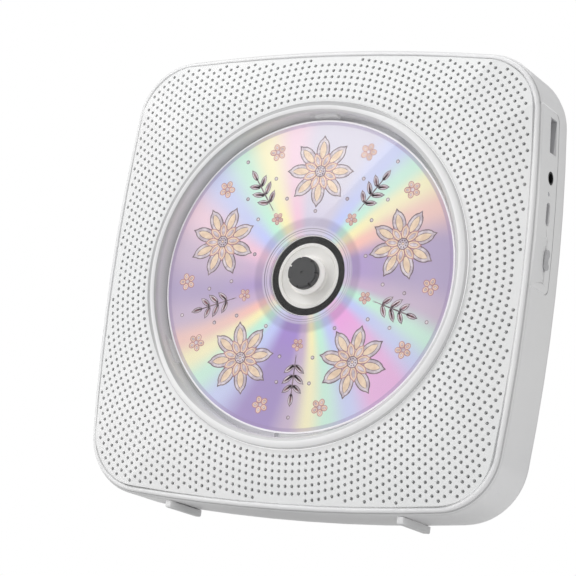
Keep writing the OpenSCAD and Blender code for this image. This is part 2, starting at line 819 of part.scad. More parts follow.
module laser_sled() {
  color("dimgray") difference() {
    union() {
      box([-rail_x - 3.2, sled_y, lens_z - sled_half], [rail_x + 3.2, sled_y + sled_t, lens_z + sled_half]);
      box([-tower_x, disc_back + 2.6, lens_z - tower_z], [tower_x, sled_y + 1, lens_z + tower_z]);
    }
    for (s = [-1, 1]) translate([s*rail_x, rail_y, lens_z - sled_half - 1])
      cylinder(r = rail_r + fit, h = 2*sled_half + 2);
    rod_y(2.4, 0, disc_back + 3.4, 0, lens_z);
  }
}

module laser_lens() {
  color("lightcyan") {
    rod_y(2.35, disc_back + 2.5, disc_back + 3.38, 0, lens_z);
    translate([0, disc_back + 2.5, lens_z]) rotate([-90, 0, 0]) translate([0, 0, 0.6]) intersection() {
      sphere(r = 1.8);
      translate([0, 0, -2]) cylinder(r = 1.8, h = 2);
    }
  }
}

module lead_screw() {
  color("silver") translate([rail_x, rail_y, deck_end - feed_in])
    cylinder(r = rail_r, h = rail_top - deck_end + feed_in);
}

module dust_cover() {
  color("lightcyan", 0.4) {
    rod_y(cover_r, cover_y, cover_y + cover_t);
    for (a = legs) intersection() {
      turned_part() translate([cover_r - leg_t, cover_y + cover_t - eps])
        square([leg_t, leg_end - cover_y - cover_t]);
      rotate([0, -a, 0]) box([0, cover_y - 1, -leg_w/2], [reach, body_d, leg_w/2]);
    }
  }
}

// Every node stands in one frame: x and y at the middle of the player, z at the bottom of its feet.
module placed() {
  translate([0, frame_y, frame_z]) children();
}

placed() rear_shell();
placed() front_rim();
placed() front_grille();
placed() grille_cloth();
placed() well_ring();
placed() disc_tray();
placed() port_plate();
placed() usb_port();
placed() headphone_jack();
placed() charge_port();
placed() status_led();
placed() side_board();
placed() main_board();
placed() battery_pack();
placed() left_speaker();
placed() right_speaker();
placed() deck_frame();
placed() deck_dampers();
placed() spindle_motor();
placed() guide_rail();
placed() sled_motor();
placed() key_board();
placed() left_foot();
placed() right_foot();
placed() rear_bumpers();
placed() turntable();
placed() platter_ring();
placed() spindle_cap();
placed() motor_shaft();
placed() disc();
placed() laser_sled();
placed() laser_lens();
placed() lead_screw();
placed() dust_cover();
placed() power_switch();
placed() button(1);  // button_1
placed() button(2);  // button_2
placed() button(3);  // button_3
placed() button(4);  // button_4
placed() button(5);  // button_5
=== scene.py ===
import math

import bpy
from mathutils import Matrix, Vector


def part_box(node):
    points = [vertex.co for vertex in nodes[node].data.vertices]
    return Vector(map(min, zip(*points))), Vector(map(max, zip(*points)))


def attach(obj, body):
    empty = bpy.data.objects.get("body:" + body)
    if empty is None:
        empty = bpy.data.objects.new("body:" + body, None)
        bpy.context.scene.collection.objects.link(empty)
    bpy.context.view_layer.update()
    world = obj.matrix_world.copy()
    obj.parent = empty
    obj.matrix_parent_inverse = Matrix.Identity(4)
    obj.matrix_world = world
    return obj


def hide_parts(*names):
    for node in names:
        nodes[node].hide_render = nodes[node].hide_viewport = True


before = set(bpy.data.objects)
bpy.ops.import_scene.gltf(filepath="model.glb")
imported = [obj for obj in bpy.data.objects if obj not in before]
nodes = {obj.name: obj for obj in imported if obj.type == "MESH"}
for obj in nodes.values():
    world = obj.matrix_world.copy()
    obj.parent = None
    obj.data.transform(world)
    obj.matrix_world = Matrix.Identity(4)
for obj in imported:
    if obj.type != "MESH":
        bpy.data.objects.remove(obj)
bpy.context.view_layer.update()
mm = 0.001

discLow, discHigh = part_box("disc")
axisX = (discLow.x + discHigh.x) / 2  # everything round is centred on the disc
axisZ = (discLow.z + discHigh.z) / 2
discThick, discDepth = 1.2, 3.2  # in mm; the depth goes from the flat of the grille to the disc's face
discFront = discHigh.y - discThick * mm
frontY = discFront - discDepth * mm  # the flat of the grille
print("frame loaded, disc axis at", round(axisX, 4), round(axisZ, 4))


class Wire:  # one socket of a shader tree, so that finishes read as sums
    def __init__(self, tree, socket=None):
        self.tree, self.socket = tree, socket

    def node(self, kind, settings=None, sockets=None, out=0):
        made = self.tree.nodes.new("ShaderNode" + kind)
        for key, value in (settings or {}).items():
            if key == "stops":
                ramp = made.color_ramp
                while len(ramp.elements) < len(value):
                    ramp.elements.new(0.5)
                for element, (place, colour) in zip(ramp.elements, value):
                    element.position = place
                    element.color = colour
            elif key == "interpolation":
                made.color_ramp.interpolation = value
            else:
                setattr(made, key, value)
        for key, value in (sockets or {}).items():
            if isinstance(value, Wire):
                self.tree.links.new(value.socket, made.inputs[key])
            else:
                made.inputs[key].default_value = value
        return Wire(self.tree, made.outputs[out] if made.outputs else None)

    def maths(self, operation, *values):
        return self.node("Math", {"operation": operation}, dict(enumerate(values)))

    def __add__(self, other):
        return self.maths("ADD", self, other)

    def __sub__(self, other):
        return self.maths("SUBTRACT", self, other)

    def __rsub__(self, other):
        return self.maths("SUBTRACT", other, self)

    def __mul__(self, other):
        return self.maths("MULTIPLY", self, other)

    def __truediv__(self, other):
        return self.maths("DIVIDE", self, other)

    __radd__ = __add__
    __rmul__ = __mul__

    def root(self):
        return self.maths("SQRT", self)

    def step(self, low, high):  # 0 below low, 1 above high, eased between
        return self.node("MapRange", {"interpolation_type": "SMOOTHSTEP"},
                         {"Value": self, "From Min": low, "From Max": high})

    def band(self, low, high, soft):  # 1 between low and high
        return self.step(low - soft, low) * (1 - self.step(high, high + soft))

    def mixTo(self, first, second):  # colours, by this mask
        return self.node("Mix", {"data_type": "RGBA"}, {"Factor": self, 6: first, 7: second}, out=2)


def between(mask, ends):  # a mask from 0 to 1 as a value from the first end to the second
    return mask * (ends[1] - ends[0]) + ends[0]


def rgb(red, green, blue):  # from the values a paint chart gives
    return tuple(c / 12.92 if c <= 0.04045 else ((c + 0.055) / 1.055) ** 2.4
                 for c in (red / 255, green / 255, blue / 255)) + (1.0,)


def newFinish(name):
    material = bpy.data.materials.new(name)
    material.use_nodes = True
    tree = material.node_tree
    tree.nodes.clear()
    return material, Wire(tree)


def place(wire):  # position on the piece, in metres
    return wire.node("TexCoord", None, None, out=3)


def parts(wire, vector):
    split = wire.tree.nodes.new("ShaderNodeSeparateXYZ")
    wire.tree.links.new(vector.socket, split.inputs[0])
    return [Wire(wire.tree, split.outputs[i]) for i in range(3)]


def noise(wire, scale, detail=2.0):  # scale in spots to the metre
    return wire.node("TexNoise", None, {"Vector": place(wire), "Scale": scale, "Detail": detail})


def principled(wire, sockets, bump=None, depth=0.0, strength=1.0):  # depth of the bumps in mm
    if bump is not None:
        sockets["Normal"] = wire.node("Bump", None, {"Height": bump, "Distance": depth * mm,
                                                     "Strength": strength})
    return wire.node("BsdfPrincipled", None, sockets)


def show(wire, shader):
    wire.node("OutputMaterial", None, {"Surface": shader})


def finishWith(wire, sockets, bump=None, depth=0.0):
    show(wire, principled(wire, sockets, bump, depth))


clearGloss = 0.025  # share that a clear part mirrors when it is seen straight on


def clearLayer(wire, tint, roughness):  # see-through, with a gloss that grows at grazing angles
    facing = wire.node("LayerWeight", None, {"Blend": 0.5}, out=1)
    gloss = wire.maths("POWER", facing, 5.0) * (1 - clearGloss) + clearGloss
    through = wire.node("BsdfTransparent", None, {"Color": tint})
    shine = wire.node("BsdfGlossy", None, {"Color": (1, 1, 1, 1), "Roughness": roughness})
    return wire.node("MixShader", None, {0: gloss, 1: through, 2: shine})


def around(wire):  # distance from the disc's axis in mm, and the turn about it from 0 to 1
    x, y, z = parts(wire, place(wire))
    across = (x - axisX) / mm
    up = (z - axisZ) / mm
    turn = wire.maths("ARCTAN2", up, across) / (2 * math.pi)
    return (across * across + up * up).root(), wire.maths("FRACT", turn + 1.0)


# The bowed square body, in mm from the disc's axis; sideBow is twice the radius of a side
outlineLook = {"half": 88.5, "sideBow": 1400.0, "corner": 24.0, "cornerMiddle": 61.7}


def bowedSide(along):  # how far out a side lies, at a place along it
    return outlineLook["half"] - along * along / outlineLook["sideBow"]


def inset(wire, across, up):  # how far inside the outline, in mm
    sideways, upright = wire.maths("ABSOLUTE", across), wire.maths("ABSOLUTE", up)
    side = wire.maths("MINIMUM", bowedSide(upright) - sideways, bowedSide(sideways) - upright)
    cornerX, cornerZ = sideways - outlineLook["cornerMiddle"], upright - outlineLook["cornerMiddle"]
    corner = outlineLook["corner"] - (cornerX * cornerX + cornerZ * cornerZ).root()
    inCorner = wire.maths("MINIMUM", cornerX, cornerZ).step(0.0, 0.01)
    return side + inCorner * (corner - side)


# What all white and grey mouldings share: faint clouds in tone and gloss under a fine grain
mouldLook = {"clouds": 14.0, "detail": 3.0, "cloudStep": (0.35, 0.65), "glossSpread": 0.08,
             "coatRoughness": 0.12, "ior": 1.5, "grain": 9000.0, "grainDepth": 0.01}
grilleLook = {"edgeInset": (3.05, 3.25), "edgeBack": (4.84, 4.94)}  # where its cut edge is, in mm


def cloudyTone(wire, colour, shade):  # the clouds, and the colour with its shade in them
    clouds = noise(wire, mouldLook["clouds"], mouldLook["detail"])
    return clouds, clouds.step(*mouldLook["cloudStep"]).mixTo(colour, shade)


def moulded(wire, colour, clouds, roughness, coat, lift, glow, grain, depth):
    spread = mouldLook["glossSpread"]
    finishWith(wire, {"Base Color": colour, "Roughness": clouds * spread + (roughness - spread / 2),
                      "Emission Color": lift, "Emission Strength": glow, "Coat Weight": coat,
                      "Coat Roughness": mouldLook["coatRoughness"], "IOR": mouldLook["ior"]},
               noise(wire, grain), depth)


def mouldedPlastic(name, colour, shade, roughness, coat=0.0, grain=mouldLook["grain"],
                   depth=mouldLook["grainDepth"], glow=0.0, rimOnly=False):
    material, wire = newFinish(name)
    lift = (1, 1, 1, 1)
    if rimOnly:  # painted light: the glow is only on the cut edge that faces the front rim, to lighten the gap there
        x, y, z = parts(wire, place(wire))
        edge = 1 - inset(wire, (x - axisX) / mm, (z - axisZ) / mm).step(*grilleLook["edgeInset"])
        lift = (edge * ((y - frontY) / mm).step(*grilleLook["edgeBack"])).mixTo((0, 0, 0, 1), lift)
    clouds, colours = cloudyTone(wire, colour, shade)
    moulded(wire, colours, clouds, roughness, coat, lift, glow, grain, depth)
    return material


# Painted shade on the case's seams, in a groove round the well and on the well's wall, and painted light:
# a glow in its gaps. Ranges are in mm from the disc's axis or from the plate's outline, and behind the flat
# of the grille where the name ends in Back
seamLook = {
    "tone": rgb(150, 150, 151), "shellBack": (6.15, 6.71, 0.12), "shellShade": 0.55,
    "plateMiddle": 32.5, "plateHalf": 34.1, "plateEnd": 23.1, "plateCorner": 3.0,
    "plateLine": (0.22, 0.32), "plateBack": (20.1, 22.1), "plateShade": 0.7, "onSide": (79.9, 80.0),
    "groove": (66.1, 66.9), "grooveWider": 1.75, "grooveSoft": (0.15, 0.3), "grooveBack": (0.6, 0.9),
    "grooveSide": (140.0, 0.05, 0.5), "grooveShade": (0.4, 0.75),  # direction and spread; least and most
    "wallTone": rgb(160, 160, 161), "wall": 63.7, "wallLower": 0.8, "wallSoft": 0.1,
    "wallBack": (-2.6, 0.6), "wallSide": (165.0, 0.2, 0.75), "wallShade": (0.5, 1.0),
    "glow": 0.38, "plateGap": (0.35, 0.45), "plateGapBack": (7.0, 7.2), "plateGapUnder": (0.12, 0.2),
    "plateGlow": 0.35, "beadGap": (65.0, 67.4, 0.1), "beadGapBack": (0.9, 5.0, 0.3),
    "rearWall": (66.0, 67.0), "rearWallBack": (32.6, 34.0, 0.2)}


def plateEdge(wire, across, up):  # distance in mm from the outline of the sockets' plate
    middle, tall, radius = seamLook["plateMiddle"], seamLook["plateHalf"], seamLook["plateCorner"]
    sideways = across - (seamLook["plateEnd"] - radius)
    upright = wire.maths("ABSOLUTE", up - middle) - (tall - radius)
    outside = wire.maths("MAXIMUM", sideways, 0.0)
    above = wire.maths("MAXIMUM", upright, 0.0)
    inside = wire.maths("MINIMUM", wire.maths("MAXIMUM", sideways, upright), 0.0)
    return (outside * outside + above * above).root() + inside - radius


def caseShades(wire):  # masks for painted shade on the seams and the well's wall, and for painted light: the gaps that give off a little light
    look = seamLook
    x, y, z = parts(wire, place(wire))
    across, up, back = (x - axisX) / mm, (z - axisZ) / mm, (y - frontY) / mm
    radius = (across * across + up * up).root()

    def facing(turn, low, high):  # 1 on this side of the disc's axis, where the painted shade is strongest
        turn = math.radians(turn)
        return ((across * math.cos(turn) + up * math.sin(turn)) / radius).step(low, high)

    onSide = across.step(*look["onSide"])
    plate = wire.maths("ABSOLUTE", plateEdge(wire, back, up))
    # painted shade along the back seam of the sockets' plate
    line = (1 - plate.step(*look["plateLine"])) * onSide * back.step(*look["plateBack"])
    # painted shade in a groove round the bead, wider and darker towards the upper left
    side = facing(*look["grooveSide"])
    soft, farSoft = look["grooveSoft"]
    low, high = look["groove"]
    low = low - side * look["grooveWider"]
    groove = radius.step(low - soft, low) * (1 - radius.step(high - farSoft, high))
    groove = groove * (1 - back.step(*look["grooveBack"])) * between(side, look["grooveShade"])
    # painted shade: the shell's seam, the plate's seam and the groove together
    seamShade = back.band(*look["shellBack"]) * look["shellShade"] + line * look["plateShade"] + groove

    # painted shade: an even grey over the well's inner wall, strongest on the left side
    top, soft = look["wall"] - side * look["wallLower"], look["wallSoft"]
    wall = (1 - radius.step(top - soft, top + soft)) * (1 - back.step(*look["wallBack"]))
    wall = wall * between(facing(*look["wallSide"]), look["wallShade"])

    # painted light: a glow in the gaps round the sockets' plate and round the bead
    plateGap = (1 - plate.step(*look["plateGap"])) * onSide * back.step(*look["plateGapBack"])
    plateGap = plateGap * (bowedSide(up) - across).step(*look["plateGapUnder"])  # below the side's skin
    beadGap = radius.band(*look["beadGap"]) * back.band(*look["beadGapBack"])
    # painted light: a glow on the back wall, which shows through the laser's slot
    rearWall = back.band(*look["rearWallBack"]) * (1 - radius.step(*look["rearWall"]))
    return seamShade, wall, plateGap * look["plateGlow"] + beadGap + rearWall


def shellPlastic(name, colour, shade, roughness, coat):  # white, with painted shade along the seams between its parts and on the well's wall, and painted light in its gaps
    material, wire = newFinish(name)
    seamShade, wall, gaps = caseShades(wire)
    clouds, colours = cloudyTone(wire, colour, shade)
    # painted shade on the seams and the well's wall, then painted light in the gaps
    colours = wire.maths("MINIMUM", seamShade, 1.0).mixTo(colours, seamLook["tone"])
    colours = wall.mixTo(colours, seamLook["wallTone"])
    lift = wire.maths("MINIMUM", gaps, 1.0).mixTo((0, 0, 0, 1), (1, 1, 1, 1))
    moulded(wire, colours, clouds, roughness, coat, lift, seamLook["glow"],
            mouldLook["grain"], mouldLook["grainDepth"])
    return material


# Steel: fine lines drawn along X
metalLook = {"lines": (300.0, 4000.0, 4000.0), "lineStep": (0.3, 0.7), "gloss": (-0.07, 0.08), "depth": 0.004}


def brushedMetal(name, colour, shade, roughness, glow=0.0):
    material, wire = newFinish(name)
    drawn = wire.node("Mapping", None, {"Vector": place(wire), "Scale": metalLook["lines"]})
    lines = wire.node("TexNoise", None, {"Vector": drawn, "Scale": 1.0, "Detail": 3.0})
    finishWith(wire, {"Base Color": lines.step(*metalLook["lineStep"]).mixTo(colour, shade), "Metallic": 1.0,
                      "Emission Color": colour, "Emission Strength": glow,
                      "Roughness": between(lines, metalLook["gloss"]) + roughness},
               lines, metalLook["depth"])
    return material


rubberLook = {"specks": 2500.0, "detail": 4.0, "speckStep": (0.4, 0.7), "gloss": (-0.1, 0.1), "depth": 0.02}


def softRubber(name, colour, shade, roughness):
    material, wire = newFinish(name)
    specks = noise(wire, rubberLook["specks"], rubberLook["detail"])
    finishWith(wire, {"Base Color": specks.step(*rubberLook["speckStep"]).mixTo(colour, shade),
                      "Roughness": between(specks, rubberLook["gloss"]) + roughness},
               specks, rubberLook["depth"])
    return material


clothLook = {"thread": 0.45, "roughness": 0.95, "depth": 0.1}  # width of two threads, and their height, in mm


def wovenCloth(name, colour, shade):
    material, wire = newFinish(name)
    x, y, z = parts(wire, place(wire))
    threads = 2 * math.pi / (clothLook["thread"] * mm)
    weave = wire.maths("SINE", x * threads) * wire.maths("SINE", z * threads) * 0.5 + 0.5
    finishWith(wire, {"Base Color": weave.mixTo(shade, colour), "Roughness": clothLook["roughness"]},
               weave, clothLook["depth"])
    return material


boardLook = {"mask": rgb(18, 74, 44), "track": rgb(32, 108, 62), "pad": rgb(196, 186, 140), "cells": 260.0,
             "tracks": (0.32, 0.36, 0.02), "pads": (0.09, 0.12), "padMetal": 0.8, "gloss": (0.38, 0.28),
             "depth": 0.03}


def circuitBoard(name):
    material, wire = newFinish(name)
    cells = wire.node("TexVoronoi", {"feature": "F1", "distance": "CHEBYCHEV"},
                      {"Vector": place(wire), "Scale": boardLook["cells"]})
    tracks = cells.band(*boardLook["tracks"])
    pads = 1 - cells.step(*boardLook["pads"])
    mask = tracks.mixTo(boardLook["mask"], boardLook["track"])
    finishWith(wire, {"Base Color": pads.mixTo(mask, boardLook["pad"]),
                      "Metallic": pads * boardLook["padMetal"],
                      "Roughness": between(pads, boardLook["gloss"])}, tracks + pads, boardLook["depth"])
    return material


coverLook = {"scuffs": 60.0, "detail": 4.0, "gloss": (0.004, 0.012)}


def clearPlastic(name, tint):
    material, wire = newFinish(name)
    scuffs = noise(wire, coverLook["scuffs"], coverLook["detail"])
    show(wire, clearLayer(wire, tint, between(scuffs, coverLook["gloss"])))
    return material


lensLook = {"clouds": 900.0, "gloss": (0.15, 0.25), "coat": 0.8, "coatRoughness": 0.05}


def milkyPlastic(name, colour, shade):
    material, wire = newFinish(name)
    clouds = noise(wire, lensLook["clouds"])
    finishWith(wire, {"Base Color": clouds.mixTo(colour, shade),
                      "Roughness": between(clouds, lensLook["gloss"]),
                      "Coat Weight": lensLook["coat"], "Coat Roughness": lensLook["coatRoughness"]})
    return material


# The disc: a rainbow face as far as its clear middle, a painted reflection of the rainbow the disc splits
# from light, with a band of bare plastic round it
discLook = {
    "tones": {"lilac": (184, 169, 202), "violet": (172, 153, 202), "mauve": (205, 187, 208),
              "silver": (215, 211, 224), "rose": (238, 209, 222), "peach": (240, 204, 196),
              "butter": (246, 240, 202), "mint": (206, 238, 222), "sky": (205, 211, 242),
              "orchid": (234, 186, 226)},
    "streaks": [  # turn in degrees, anticlockwise from the right as seen from the front
        (0, "lilac"), (14, "lilac"), (29, "peach"), (40, "butter"), (48, "mint"), (58, "sky"),
        (72, "silver"), (92, "silver"), (104, "rose"), (117, "butter"), (128, "mint"), (141, "sky"),
        (156, "rose"), (172, "mauve"), (188, "lilac"), (200, "mauve"), (209, "peach"), (217, "butter"),
        (226, "mint"), (237, "sky"), (251, "violet"), (262, "violet"), (271, "mauve"), (279, "butter"),
        (287, "mint"), (297, "sky"), (308, "orchid"), (318, "orchid"), (328, "sky"), (337, "mint"),
        (347, "mauve"), (360, "lilac")],
    "innerVivid": 1.45, "outerVivid": 1.0, "vividTo": (20.0, 40.0),
    "curveAt": 50.0, "turnWith": 0.0004,  # the streaks curve a little with the radius
    "rings": [  # from, to and softness in mm, strength, tone
        (19.2, 21.2, 1.7, 0.34, (128, 112, 146)),  # shade round the middle
        (16.0, 18.4, 0.8, 0.55, (214, 208, 222)),  # thinner print over the stacking ring
        (16.9, 17.05, 0.12, 0.55, (112, 100, 122)), (17.75, 17.9, 0.12, 0.55, (112, 100, 122))],
    "edges": [  # from and full in mm, strength, tone: the bare band, and a painted highlight on the bright rim
        (57.9, 58.2, 0.5, (160, 140, 182)), (59.3, 59.45, 1.0, (250, 248, 252))],
    "clearTo": (15.5, 15.85), "clearRoughness": 0.03, "metal": 0.2, "washes": 30.0, "gloss": (0.25, 0.35),
    "coat": 0.35, "coatRoughness": 0.05, "grooves": 40.0, "grooveDepth": 0.002, "grooveStrength": 0.4}


def toned(tone, vivid):  # a tone pushed away from grey
    grey = sum(discLook["tones"][tone]) / 3
    return rgb(*(max(0, min(255, grey + (part - grey) * vivid)) for part in discLook["tones"][tone]))


def discFace(name):
    material, wire = newFinish(name)
    radius, turn = around(wire)
    swirl = wire.maths("FRACT", turn + (radius - discLook["curveAt"]) * discLook["turnWith"] + 1.0)
    # painted reflection: the rainbow streaks, fixed on the disc
    inner, outer = [wire.node("ValToRGB", {
        "stops": [(angle / 360, toned(tone, discLook[vivid])) for angle, tone in discLook["streaks"]],
        "interpolation": "EASE"}, {"Fac": swirl}) for vivid in ("innerVivid", "outerVivid")]
    colour = radius.step(*discLook["vividTo"]).mixTo(inner, outer)
    for low, high, soft, strength, tone in discLook["rings"]:
        colour = (radius.band(low, high, soft) * strength).mixTo(colour, rgb(*tone))
    for low, full, strength, tone in discLook["edges"]:
        colour = (radius.step(low, full) * strength).mixTo(colour, rgb(*tone))
    bareFrom, bareFull = discLook["edges"][0][:2]
    mirrored = (1 - radius.step(bareFrom, bareFull)) * discLook["metal"]
    gloss = between(noise(wire, discLook["washes"]), discLook["gloss"])
    grooves = wire.maths("SINE", radius * discLook["grooves"]) * 0.5 + 0.5
    printed = principled(wire, {"Base Color": colour, "Metallic": mirrored, "Roughness": gloss,
                                "Coat Weight": discLook["coat"], "Coat Roughness": discLook["coatRoughness"]},
                         grooves, discLook["grooveDepth"], discLook["grooveStrength"])
    middle = 1 - radius.step(*discLook["clearTo"])
    clear = clearLayer(wire, (1, 1, 1, 1), discLook["clearRoughness"])
    show(wire, wire.node("MixShader", None, {0: middle, 1: printed, 2: clear}))
    return material


inkLook = {"patches": 420.0, "detail": 3.0, "patchStep": (0.35, 0.65), "gloss": (0.3, 0.5), "depth": 0.02}


def printInk(name, light, dark, metal):
    material, wire = newFinish(name)
    patches = noise(wire, inkLook["patches"], inkLook["detail"])
    finishWith(wire, {"Base Color": patches.step(*inkLook["patchStep"]).mixTo(dark, light), "Metallic": metal,
                      "Roughness": between(patches, inkLook["gloss"])}, patches, inkLook["depth"])
    return material


# The finishes: name, colour, its shade, roughness, coat
white = shellPlastic("whitePlastic", rgb(236, 236, 236), rgb(232, 232, 233), 0.36, 0.15)
# painted light: the grille's cut edge glows a little
grilleWhite = mouldedPlastic("grillePlastic", rgb(236, 236, 236), rgb(232, 233, 233), 0.42,
                             glow=0.22, rimOnly=True)
buttonWhite = mouldedPlastic("buttonPlastic", rgb(222, 222, 223), rgb(214, 214, 216), 0.34, 0.2)
knobGrey = mouldedPlastic("knobPlastic", rgb(190, 190, 192), rgb(176, 176, 178), 0.4)
innerGrey = mouldedPlastic("innerPlastic", rgb(120, 121, 124), rgb(108, 109, 112), 0.5)
# painted light: the hub glows faintly, so it looks brighter through the disc
ivory = mouldedPlastic("hubPlastic", rgb(252, 250, 246), rgb(248, 246, 240), 0.3, 0.3, glow=0.08)
trayGrey = mouldedPlastic("trayPlastic", rgb(226, 226, 227), rgb(214, 214, 216), 0.5)
capGrey = mouldedPlastic("capPlastic", rgb(60, 60, 61), rgb(50, 50, 51), 0.5, grain=3500.0, depth=0.03)
jackBlack = mouldedPlastic("jackPlastic", rgb(22, 22, 23), rgb(30, 30, 31), 0.4)
driverBlack = mouldedPlastic("driverPlastic", rgb(38, 38, 40), rgb(30, 30, 31), 0.6)
cellFoil = brushedMetal("cellFoil", rgb(188, 190, 194), rgb(170, 172, 176), 0.42)
steel = brushedMetal("drawnSteel", rgb(196, 197, 200), rgb(170, 171, 174), 0.34)
shaftSteel = brushedMetal("shaftSteel", rgb(206, 207, 210), rgb(190, 191, 194), 0.2)
socketGrey = mouldedPlastic("socketGrey", rgb(196, 196, 198), rgb(176, 176, 179), 0.45, grain=2500.0)
# painted light: the deck's steel glows, so the laser's slot does not show dark
deckSteel = brushedMetal("deckSteel", rgb(204, 205, 208), rgb(184, 185, 188), 0.34, glow=0.35)
blackRubber = softRubber("ringRubber", rgb(14, 13, 11), rgb(8, 7, 6), 0.45)
greyRubber = softRubber("padRubber", rgb(92, 92, 94), rgb(80, 80, 82), 0.8)
cloth = wovenCloth("speakerCloth", rgb(244, 244, 244), rgb(216, 216, 218))
board = circuitBoard("circuitBoard")
coverClear = clearPlastic("coverClear", (1, 1, 1, 1))
lensClear = milkyPlastic("lensClear", rgb(190, 192, 196), rgb(160, 162, 168))
disc = discFace("discFace")
inkDark = printInk("inkDark", rgb(146, 128, 134), rgb(112, 96, 104), 0.25)
inkPale = printInk("inkPale", rgb(222, 212, 218), rgb(188, 174, 184), 0.2)
inkRose = printInk("inkRose", rgb(198, 146, 150), rgb(178, 126, 134), 0.2)
inkSand = printInk("inkSand", rgb(238, 216, 190), rgb(224, 198, 172), 0.1)

dressing = {
    "rear_shell": white, "front_rim": white, "front_grille": grilleWhite, "well_ring": white,
    "port_plate": white, "left_foot": white, "right_foot": white, "grille_cloth": cloth,
    "disc_tray": trayGrey, "usb_port": socketGrey, "headphone_jack": jackBlack, "charge_port": socketGrey,
    "status_led": lensClear, "side_board": board, "main_board": board, "key_board": board,
    "battery_pack": cellFoil, "left_speaker": driverBlack, "right_speaker": driverBlack,
    "deck_frame": deckSteel, "deck_dampers": greyRubber, "spindle_motor": steel, "guide_rail": shaftSteel,
    "sled_motor": steel, "rear_bumpers": greyRubber, "turntable": ivory, "platter_ring": blackRubber,
    "spindle_cap": capGrey, "motor_shaft": shaftSteel, "disc": disc, "laser_sled": innerGrey,
    "laser_lens": lensClear, "lead_screw": shaftSteel, "dust_cover": coverClear, "power_switch": knobGrey}
for number in range(1, 6):
    dressing[f"button_{number}"] = buttonWhite
for name, material in dressing.items():
    nodes[name].data.materials.clear()
    nodes[name].data.materials.append(material)
for name in ("dust_cover", "disc"):  # light reaches the hub through them
    nodes[name].visible_shadow = False
print("finishes:", len(set(dressing.values())), "on", len(dressing), "carried-over parts")


def clearSelection():
    if bpy.context.mode != "OBJECT":
        bpy.ops.object.mode_set(mode="OBJECT")
    bpy.ops.object.select_all(action="DESELECT")


def hold(*pieces):
    clearSelection()
    for piece in pieces:
        piece.select_set(True)
    bpy.context.view_layer.objects.active = pieces[0]


def settle(piece):  # object at the origin, its place in its mesh
    hold(piece)
    bpy.ops.object.transform_apply(location=True, rotation=True, scale=True)


def paint(piece, *finishes):
    piece.data.materials.clear()
    for finish in finishes:
        piece.data.materials.append(finish)


def another(piece):
    twin = piece.copy()
    twin.data = piece.data.copy()
    bpy.context.scene.collection.objects.link(twin)
    return twin


def joined(pieces, name):
    hold(*pieces)
    bpy.ops.object.join()
    whole = bpy.context.object
    whole.name = whole.data.name = name
    return whole


def applied(piece, kind, **settings):
    hold(piece)
    modifier = piece.modifiers.new(kind.lower(), kind)
    for key, value in settings.items():
        setattr(modifier, key, value)
    bpy.ops.object.modifier_apply(modifier=modifier.name)


mergeWithin = 0.005  # mm between corners that become one


def mergedCopy(name, ending):  # a node's mesh as a new piece, its loose triangles merged, left in edit mode
    piece = bpy.data.objects.new(name + ending, nodes[name].data.copy())
    bpy.context.scene.collection.objects.link(piece)
    hold(piece)
    bpy.ops.object.mode_set(mode="EDIT")
    bpy.ops.mesh.select_all(action="SELECT")
    bpy.ops.mesh.remove_doubles(threshold=mergeWithin * mm)
    return piece


# Moulded parts with rolled edges: the same surfaces shaded smooth, with edges sharp above these degrees
smoothParts = {"rear_shell": 35.0, "front_rim": 40.0, "port_plate": 35.0}


def smoothed(name, angle):
    piece = mergedCopy(name, "_surface")
    bpy.ops.object.mode_set(mode="OBJECT")
    bpy.ops.object.shade_smooth_by_angle(angle=math.radians(angle))
    applied(piece, "WEIGHTED_NORMAL", keep_sharp=True, weight=80)
    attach(piece, "case")
    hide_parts(name)


for name, angle in smoothParts.items():
    smoothed(name, angle)
print("smooth shells made")

# Small moulded parts whose edges are eased: width of the rounding in mm, body, finish, slot
easedParts = {"left_foot": (0.95, "case", white, "shell_white"),
              "right_foot": (0.95, "case", white, "shell_white"),
              "power_switch": (0.28, "power_switch", knobGrey, "button_grey")}
for number in range(1, 6):
    easedParts[f"button_{number}"] = (0.35, f"button_{number}", buttonWhite, "button_grey")
easeLook = {"flat": math.radians(1), "edge": math.radians(40), "smooth": math.radians(35), "segments": 4}


def eased(name, width, body, finish):
    piece = mergedCopy(name, "_eased")
    bpy.ops.mesh.dissolve_limited(angle_limit=easeLook["flat"])
    bpy.ops.object.mode_set(mode="OBJECT")
    applied(piece, "BEVEL", width=width * mm, segments=easeLook["segments"], limit_method="ANGLE",
            angle_limit=easeLook["edge"])
    bpy.ops.object.shade_smooth_by_angle(angle=easeLook["smooth"])
    paint(piece, finish)
    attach(piece, body)
    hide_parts(name)


for name, (width, body, finish, slot) in easedParts.items():
    eased(name, width, body, finish)
print("edges eased on", len(easedParts), "small parts")


